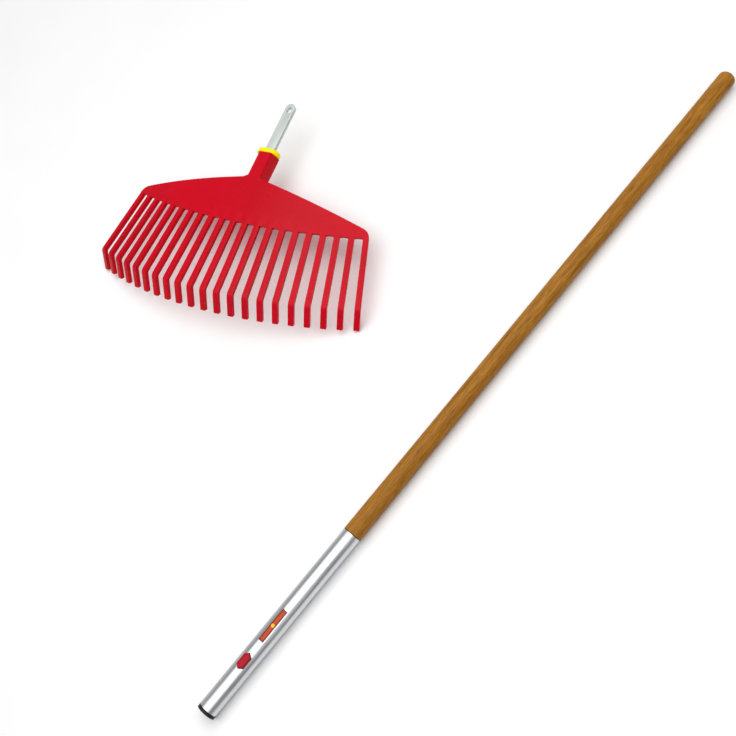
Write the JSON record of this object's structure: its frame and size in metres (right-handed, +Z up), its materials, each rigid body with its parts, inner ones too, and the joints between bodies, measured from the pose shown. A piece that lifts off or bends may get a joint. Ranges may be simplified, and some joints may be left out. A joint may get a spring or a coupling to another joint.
{
  "type": "leaf rake",
  "caption": "Leaf rake in two pieces: a fan of flexible tines with a tang, and a long handle whose tube slides over the tang and latches with a push button.",
  "frame": {"origin": "centre of the bounding box at floor level, both pieces lying on the floor beside each other", "axes": "+Y along the handle from its mouth to its far end, +Z up, +X from the head's side towards the handle's side"},
  "size_m": [0.7126, 1.2005, 0.074],
  "materials": {
    "red_moulding": "satin moulded",
    "yellow_moulding": "satin moulded",
    "grey_tang": "light grey coated",
    "zinc_steel": "zinc plated",
    "aluminium_tube": "anodised satin",
    "ash_wood": "varnished",
    "black_plastic": "moulded",
    "label_film": "printed film"
  },
  "bodies": {
    "head": {"fan": "red_moulding", "collar": "yellow_moulding", "tang": "grey_tang", "tang_screw": "zinc_steel"},
    "shutter": {"mouth_shutter": "black_plastic"},
    "handle": {"aluminium_tube": "aluminium_tube", "wood_shaft": "ash_wood", "joint_ring": "black_plastic", "shaft_pins": "aluminium_tube", "mouth_guide": "black_plastic", "rear_guide": "black_plastic", "guide_rivets": "aluminium_tube", "label_strip": "label_film", "spring_seat": "black_plastic", "shutter_spring": "zinc_steel", "latch_spring": "zinc_steel"},
    "latch": {"release_button": "red_moulding", "latch_yoke": "zinc_steel"}
  },
  "joints": [
    {"name": "handle_swing", "type": "hinge", "parent": "head", "child": "shutter", "pos_m": [-2.17287, -1.78456, 0], "axis": [0.092, 0.118, -0.9887], "range_deg": [0, 339.74]},
    {"name": "handle_plug", "type": "slide", "parent": "shutter", "child": "handle", "axis": [0, -1, 0], "range_m": [0, 0.0986], "stiffness_N_per_m": 30, "deforming": ["shutter_spring"]},
    {"name": "button_press", "type": "slide", "parent": "handle", "child": "latch", "axis": [-0.0352, 0, -0.9994], "range_m": [0, 0.0024], "stiffness_N_per_m": 900, "springref_m": -0.001, "deforming": ["latch_spring"]}
  ]
}
